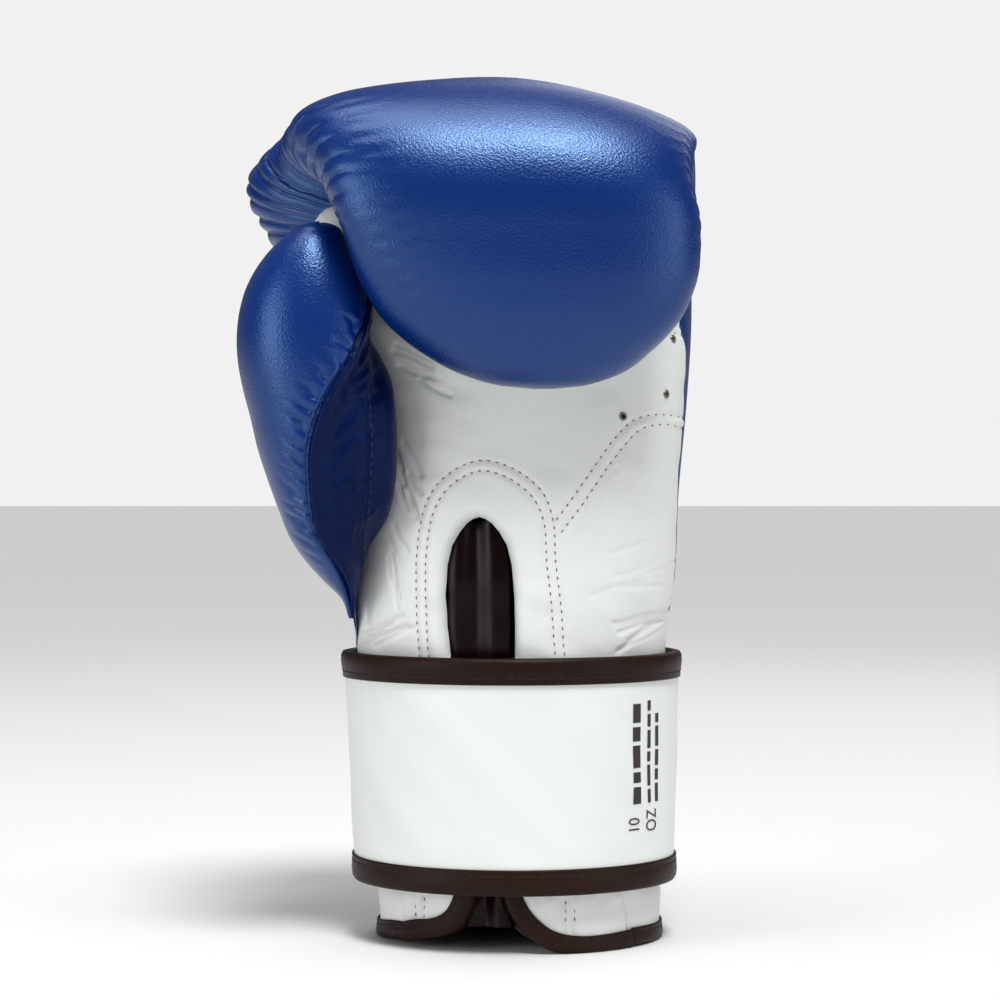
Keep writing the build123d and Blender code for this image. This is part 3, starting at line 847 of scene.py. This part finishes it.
# ---- thumb
# Height, centre x, centre y, half width, half depth, seam angle.
THUMB = np.array([
    (107, -54.9, -24.5, 0.8, 1.5, 285),
    (113.4, -55.6, -26, 2.4, 4.0, 284),
    (119.8, -57.5, -28, 6.6, 9.0, 277),
    (126.3, -59.0, -29.8, 10.7, 13.0, 264),
    (132.7, -60.1, -31.3, 13.8, 15.8, 252),
    (142, -59.9, -33, 17.7, 18.2, 248),
    (152, -60.6, -35, 20.5, 19.6, 251),
    (162, -61.8, -37, 22.3, 20.3, 257),
    (172, -63.0, -38.4, 23.3, 20.5, 268),
    (181, -64.6, -39.2, 24.0, 20.5, 283),
    (190, -66.3, -39.8, 23.9, 20.3, 302),
    (198, -67.4, -40, 23.1, 19.8, 318),
    (206, -67.8, -40, 21.8, 18.8, 334),
    (214, -67.6, -40, 19.6, 17.0, 348),
    (220.5, -67.0, -40, 16.6, 14.8, 357),
    (226.2, -66.2, -40, 12.8, 12.0, 364),
    (230.5, -65.3, -40, 9.0, 8.8, 368),
    (233.2, -64.7, -40, 5.2, 5.2, 372),
    (234.5, -64.3, -40, 0.6, 0.6, 375),
], float)


def thumb_point(z, phi):
    z, phi = np.broadcast_arrays(np.asarray(z, float), np.asarray(phi, float))
    cx, cy, half, depth = table_at(THUMB, z, 1, 2, 3, 4)
    return oval(cx, half, cy, depth, z, phi)


def thumb_grid():
    tip = 234.5 - 8.5 * (1 - np.linspace(0, 1, 30)) ** 2  # closer together towards the tip
    z = np.concatenate([np.linspace(107, 226, 200, endpoint=False), tip])
    phi = np.linspace(90, 450, 240, endpoint=False)
    zz, pp = np.meshgrid(z, phi, indexing="ij")
    points = thumb_point(zz, pp)
    half, seam = table_at(THUMB, zz, 3, 5)
    away = (pp - seam) * half * math.pi / 180  # millimetres from the seam, positive on the inner panel
    relief = -1.5 * bell(away, 0.8) + 0.35 * bell(away - 1.6, 1.0)
    # gathers: the outer panel is fuller than the inner one
    draw = smooth(120, 140, zz) * (1 - smooth(200, 213, zz))
    outer_side = smooth(-13, -3, away) * (1 - smooth(-0.8, 0.4, away))
    slant = zz + 0.55 * away + 1.4 * wobble(zz, 61, 19)
    relief += 1.25 * (np.abs(np.sin(math.pi * slant / 5.2)) ** 0.55 - 0.8) * outer_side * draw
    inner_side = smooth(-0.4, 1.2, away) * (1 - smooth(3, 9, away))
    relief -= 0.35 * np.abs(np.sin(math.pi * slant / 5.0)) ** 0.7 * inner_side * draw
    # the inner panel is slack and creased
    panel = smooth(2, 9, away) * (1 - smooth(22, 34, away))
    panel = panel * smooth(112, 135, zz) * (1 - smooth(192, 212, zz))
    relief -= (2.2 + 2.2 * smooth(150, 190, zz)) * panel
    slack = zz - 0.5 * away + 3 * wobble(zz, 71, 33) + 2 * wobble(away, 72, 15)
    creases = np.abs(np.sin(math.pi * slack / 8.5)) ** 0.6
    relief -= 0.85 * creases * panel
    line = (pp - thumb_stitch_phi(zz)) * half * math.pi / 180
    relief -= 0.4 * bell(line, 0.7) * smooth(108, 116, zz) * (1 - smooth(176, 186, zz))
    relief += 0.5 * wobble(zz, 81, 90, 2) * wobble(pp, 82, 160, 2)
    wide = np.concatenate([points[:, -1:], points, points[:, :1]], axis=1)
    amount = np.concatenate([relief[:, -1:], relief, relief[:, :1]], axis=1)
    return lift(wide, amount)[:, 1:-1]


def thumb_stitch_phi(z):
    """The stitched line on the thumb's inner panel."""
    x = np.interp(z, [108, 115, 128, 147, 166, 190], [-54.0, -52.2, -49.0, -46.2, -45.4, -47.0])
    return near_angle(x, *table_at(THUMB, z, 1, 3))


thumb = grid_piece("thumb_shell", thumb_grid(), BLUE, wrap=True)
thumb.data.materials.append(SHADED_BLUE)
# The inner panel's faces, on the thumb's side towards the palm, take the darker blue: painted shade, not a
# different leather.
for face in thumb.data.polygons:
    middle = face.center / MM
    cx, cy, half, depth, seam = map(float, table_at(THUMB, middle.z, 1, 2, 3, 4, 5))
    across, deep = (middle.x - cx) / max(half, 0.1), (middle.y - cy) / max(depth, 0.1)
    angle = math.degrees(math.atan2(deep, across)) % 360
    face.material_index = int(seam < angle or angle < seam - 360 or angle < 40)  # inner panel
seam_z = np.arange(112, 180, 3.0)
seam_here = thumb_point(seam_z, thumb_stitch_phi(seam_z))
seam_up = unit(seam_here - np.column_stack([*table_at(THUMB, seam_z, 1, 2), seam_z]))
thumb_thread = capsules(
    "thumb_stitches", seam_here - seam_up * 1.9, np.gradient(seam_here, axis=0), seam_up,
    THUMB_STITCH, BLUE_THREAD,
)

# ---- web between thumb and hand
def web_grid():
    """Leather that joins the thumb's back to the hand's side seam."""
    z = np.linspace(92, 212, 110)[:, None]
    share = np.linspace(0, 1, 40)[None, :]
    seam = table_at(SEAMS, z, 2)[0]
    hand_side = hand_point(z, seam - 1.5)
    thumb_side = thumb_point(z, np.interp(z, [110, 130, 190, 212], [95, 112, 100, 92]))
    merged = smooth(97, 114, z)[..., None]  # its foot lies along the palm's seam
    thumb_side = hand_point(z, seam + 3) * (1 - merged) + thumb_side * merged
    points = hand_side * (1 - share[..., None]) + thumb_side * share[..., None]
    hollow = np.sin(math.pi * share) * np.interp(z, [92, 110, 150, 212], [-0.6, 0.3, 2.2, 1.0])
    fold = 0.22 * wobble(z + 5 * share, 17, 11) * np.sin(math.pi * share)
    points[..., 0] += hollow + fold
    return points


web = grid_piece("thumb_web", web_grid(), BLUE, flip=True)

# ---- grip roll, white, inside the curl
ROLL_SIDES = 40
roll_x = np.concatenate([[-67.0, -66.6, -65.4, -63.2], np.linspace(-60, 44, 40), [47.5, 49.4, 50.4]])
roll_r = 9.0 * np.sqrt(np.clip(1 - np.clip((np.abs(roll_x + 8.3) - 50.5) / 8.8, 0, 1) ** 2, 0.001, 1))
roll_a = np.linspace(0, 2 * math.pi, ROLL_SIDES, endpoint=False)
roll_up = 3.0 * (1 - smooth(-62, -46, roll_x))[:, None]
roll_points = np.stack(
    [
        np.broadcast_to(roll_x[:, None], (len(roll_x), ROLL_SIDES)),
        CURL_Y + 0.9 * roll_up + roll_r[:, None] * np.cos(roll_a)[None, :],
        CURL_Z + roll_up + roll_r[:, None] * np.sin(roll_a)[None, :],
    ],
    axis=-1,
)
grip = grid_piece("grip_roll", roll_points, WHITE, wrap=True, flip=True, caps="first last")

# ---- wrist strap
STRAP = np.array([(0, -1.4, 52.4, 44.6), (100, -2.8, 56.2, 48.3)], float)  # height, x, half, depth
STRAP_ROWS, STRAP_THICK, STRAP_STEP = 34, 2.6, 1.5  # rows up each face, mm, degrees
STRAP_START, STRAP_MIDDLE, STRAP_END = 141.0, 268.0, 472.0  # sewn end, the front's join, free end


def strap_point(z, phi, out=0.0):
    z, phi, out = np.broadcast_arrays(*(np.asarray(v, float) for v in (z, phi, out)))
    cx, half, depth = (np.interp(z, STRAP[:, 0], STRAP[:, k]) for k in (1, 2, 3))
    return oval(cx, half, 0, depth, z, phi, out)


def strap_relief(z, phi):
    """The strap's slight unevenness."""
    middle = smooth(STRAP_LOW + 6, STRAP_LOW + 16, z) * (1 - smooth(STRAP_HIGH - 16, STRAP_HIGH - 6, z))
    return 0.35 * wobble(phi, 91, 75, 2) * middle + 0.25 * wobble(phi + z, 92, 40, 2) * middle


def strap_angles(first, last):
    return np.arange(first, last + 0.01, (last - first) / round((last - first) / STRAP_STEP))


def strap_leather(name, first, last, caps):
    phi = strap_angles(first, last)
    outside = np.linspace(STRAP_LOW + 2, STRAP_HIGH - 2, STRAP_ROWS)
    z = np.concatenate([outside, outside[::-1]])
    out = np.repeat([0.0, -STRAP_THICK], STRAP_ROWS)
    pp, zz = np.meshgrid(phi, z, indexing="ij")
    oo = np.broadcast_to(out, zz.shape) + strap_relief(zz, pp) * (out > -1)
    return grid_piece(name, strap_point(zz, pp, oo), STRAP_WHITE, wrap=True, caps=caps)


# The section of the strap's long bindings and of its end's, as (distance past the edge, height).
TAPE_PROFILE = [(-7.6, 0.05), (-7.6, 0.7), (-7.1, 0.85), (-5.6, 0.7), (-4.8, 0.95), (-2.6, 1.15)]
TAPE_PROFILE += [(-0.4, 1.0), (0.7, 0.4), (0.95, -0.8), (0.9, -2.2), (0.2, -3.3), (-1.5, -3.5)]
TAPE_PROFILE += [(-7.2, -3.4), (-7.2, -2.65), (-1.2, -2.6), (-0.6, -1.2)]
END_PROFILE = [(-7.0, 0.05), (-7.0, 0.8), (-5.4, 0.75), (-2.8, 1.2), (0, 1.0), (1.3, 0.2), (1.6, -1.2)]
END_PROFILE += [(1.2, -2.8), (0, -3.4), (-6.8, -3.3), (-6.8, -2.6), (-0.6, -2.4), (0.2, -1.2), (-0.6, 0.0)]


def strap_tape(name, first, last, edge, sign, caps):
    """The binding of the strap's upper (sign 1) or lower (sign -1) edge, with its stitches."""
    phi = strap_angles(first, last)
    points = np.empty((len(phi), len(TAPE_PROFILE), 3))
    for k, (rise, out) in enumerate(TAPE_PROFILE):
        points[:, k] = strap_point(np.full_like(phi, edge + sign * rise), phi, out)
    tape = grid_piece(name, points, BROWN, wrap=True, flip=sign < 0, caps=caps)
    stops = np.arange(first + 1.6, last - 1, TAPE_PITCH)
    z = np.full_like(stops, edge - sign * 5.5)
    here = strap_point(z, stops, 0.78)
    up = strap_point(z, stops, 1.8) - here
    threads = capsules(
        name + "_stitches", here, np.gradient(here, axis=0), up, STRAP_STITCH, TAPE_THREAD
    )
    return tape, threads


strap_parts = []
for label, first, last, caps in (
    ("a", STRAP_START, STRAP_MIDDLE, "first"),
    ("b", STRAP_MIDDLE, STRAP_END, "last"),
):
    pieces = [strap_leather(f"strap_{label}_leather", first, last, caps)]
    pieces += strap_tape(f"strap_{label}_top_tape", first, last, STRAP_HIGH, 1, caps)
    pieces += strap_tape(f"strap_{label}_low_tape", first, last, STRAP_LOW, -1, caps)
    strap_parts.append(pieces)

# the free end's binding runs up the end
end_z = np.linspace(STRAP_LOW + 0.5, STRAP_HIGH - 0.5, 40)
end_points = np.empty((len(end_z), len(END_PROFILE), 3))
for k, (ahead, out) in enumerate(END_PROFILE):
    # a radian is 57.3 degrees, and the strap's radius here is about 50 mm
    end_points[:, k] = strap_point(end_z, np.full_like(end_z, STRAP_END + ahead * 57.3 / 50), out)
end_tape = grid_piece("strap_end_tape", end_points, BROWN, wrap=True, flip=True, caps="first last")

# ---- plain print on the strap
INK_RISE = 0.16


def on_strap(name, outline, faces, x0, z0):
    """Lays a flat drawing, in millimetres, on the strap's front with its lines running upwards."""
    verts = []
    for u, v in outline:
        x, z = x0 - v, z0 + u
        cx, half = (np.interp(z, STRAP[:, 0], STRAP[:, k]) for k in (1, 2))
        phi = 360 - math.degrees(math.acos(max(-1, min(1, (x - cx) / half))))
        verts.append(strap_point(z, phi, INK_RISE + float(strap_relief(np.array(z), np.array(phi)))))
    return make_mesh(name, verts, faces, INK, soft=False)


def bars(widths, height, gap, v):
    """A row of plain bars in place of words."""
    outline, faces, u = [], [], 0.0
    for width in widths:
        k = len(outline)
        steps = max(1, int(width // 2))
        for n in range(steps + 1):
            outline += [(u + width * n / steps, v), (u + width * n / steps, v + height)]
        faces += [(k + 2 * n, k + 2 * n + 2, k + 2 * n + 3, k + 2 * n + 1) for n in range(steps)]
        u += width + gap
    return outline, faces


def text_outline(words, size):
    """Flat letters as points and faces, in millimetres."""
    curve = bpy.data.curves.new("letters", "FONT")
    curve.body, curve.size = words, size
    holder = add_object("letters", curve)
    depsgraph = bpy.context.evaluated_depsgraph_get()
    mesh = bpy.data.meshes.new_from_object(holder.evaluated_get(depsgraph))
    outline = [(v.co.x, v.co.y) for v in mesh.vertices]
    faces = [tuple(p.vertices) for p in mesh.polygons]
    bpy.data.objects.remove(holder)
    bpy.data.curves.remove(curve)
    bpy.data.meshes.remove(mesh)
    return outline, faces


prints = [
    on_strap("print_size", *text_outline("10", 5.2), 38.4, 38.0),
    on_strap("print_unit", *text_outline("OZ", 5.0), 44.2, 38.0),
    on_strap("print_line_a", *bars([5.5, 3.4, 7.2, 4.6, 6.1], 2.6, 1.4, 0.6), 39.4, 47.5),
    on_strap("print_line_b", *bars([4.4, 6.8, 3.2, 5.9, 4.1, 3.3], 1.1, 1.1, 0.2), 42.6, 47.5),
    on_strap("print_line_c", *bars([6.0, 3.6, 5.2, 6.6, 3.0], 1.1, 1.1, 0.2), 45.4, 47.5),
]

# ---- what rides on what
for piece in (shell, palm, palm_stitches, vents, tongue, cuff_back, hem, hem_thread, grip):
    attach(piece, "hand")
for piece in (flap_left, binding_left, binding_left_thread, stitches_left):
    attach(piece, "flap_left")
for piece in (flap_right, binding_right, binding_right_thread, stitches_right):
    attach(piece, "flap_right")
for piece in (thumb, thumb_thread):
    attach(piece, "thumb")
for piece in (end_tape,):
    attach(piece, "strap_back")
for piece in prints:
    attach(piece, "strap_front")
for piece in strap_parts[0]:
    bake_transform(piece)
for piece in strap_parts[1]:
    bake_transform(piece)

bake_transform(web)

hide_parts("back_leather", "fist_leather", "back_outer_foam", "back_inner_foam", "fist_foam")
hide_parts("palm_leather", "outer_palm_leather", "palm_foam", "finger_leather", "finger_foam")
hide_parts("vent_eyelets")
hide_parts("wrist_tongue")
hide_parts("cuff_leather", "cuff_foam")
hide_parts("cuff_binding")
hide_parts("grip_cover", "grip_core")
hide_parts("left_flap_leather", "left_flap_foam")
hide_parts("left_flap_binding")
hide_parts("right_flap_leather", "right_flap_foam")
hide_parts("right_flap_binding")
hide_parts("thumb_outer_leather", "thumb_inner_leather", "thumb_foam", "thumb_lining")
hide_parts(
    "strap_front_leather", "strap_front_backing",
    "strap_anchor_leather", "strap_anchor_backing",
)
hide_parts("strap_front_binding", "strap_anchor_binding")
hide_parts("strap_back_leather", "strap_back_backing")
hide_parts("strap_back_binding")

for node, material in {
    "hand_lining": LINING,
    "finger_lining": LINING,
    "cuff_lining": LINING,
    "left_flap_lining": LINING,
    "right_flap_lining": LINING,
    "hook_patch": HOOK,
    "loop_patch": LOOP,
}.items():
    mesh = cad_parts[node].data
    mesh.materials.clear()
    mesh.materials.append(material)

# ---- floor, light and camera
floor_mesh = bpy.data.meshes.new("floor")
floor_mesh.from_pydata([(-60, -60, 0), (60, -60, 0), (60, 60, 0), (-60, 60, 0)], [], [(0, 1, 2, 3)])
floor = add_object("floor", floor_mesh)
floor_material, _, floor_shader = node_material("floor_pale", (0.70, 0.70, 0.70), 0.9)
floor_shader.inputs["Specular IOR Level"].default_value = 0.1
floor_mesh.materials.append(floor_material)

world = bpy.data.worlds.new("studio")
bpy.context.scene.world = world
world.use_nodes = True
sky = world.node_tree
dim = sky.nodes["Background"]
dim.inputs["Color"].default_value, dim.inputs["Strength"].default_value = (1, 1, 1, 1), 0.16
pale = add_node(sky, "ShaderNodeBackground", Strength=0.88, Color=(1, 1, 1, 1))
chooser = add_node(sky, "ShaderNodeMixShader")
sky.links.new(add_node(sky, "ShaderNodeLightPath").outputs["Is Camera Ray"], chooser.inputs["Fac"])
sky.links.new(dim.outputs[0], chooser.inputs[1])
sky.links.new(pale.outputs[0], chooser.inputs[2])
sky.links.new(chooser.outputs[0], sky.nodes["World Output"].inputs["Surface"])

sun = bpy.data.lights.new("overhead", "SUN")
sun.energy, sun.angle = 2.6, math.radians(18)
sun_holder = add_object("overhead", sun)
sun_holder.rotation_euler = Vector((0.12, -0.44, 0.89)).to_track_quat("Z", "Y").to_euler()


def softbox(name, place, aim, width, height, power):
    light = bpy.data.lights.new(name, "AREA")
    light.shape, light.size, light.size_y, light.energy = "RECTANGLE", width, height, power
    holder = add_object(name, light)
    holder.location = place
    holder.rotation_euler = (Vector(aim) - Vector(place)).to_track_quat("-Z", "Y").to_euler()


softbox("left", (-0.95, -0.70, 0.35), (0.0, 0.0, 0.16), 0.45, 0.9, 5.0)
softbox("right", (1.0, -0.62, 0.35), (0.0, 0.0, 0.16), 0.45, 0.9, 2.6)
softbox("back", (0.4, 1.0, 1.0), (0.0, 0.0, 0.16), 0.8, 0.8, 2)
softbox("top", (-0.05, -0.15, 1.15), (-0.02, -0.03, 0.2), 1.0, 0.6, 6.5)

camera = bpy.data.cameras.new("camera")
camera.sensor_width, camera.lens = 36.0, 91.3
camera_holder = add_object("camera", camera)
camera_holder.location = (-0.0065, -0.85, 0.1456)
camera_holder.rotation_euler = (math.pi / 2, 0, 0)
bpy.context.scene.camera = camera_holder
bpy.context.scene.view_settings.view_transform = "Standard"
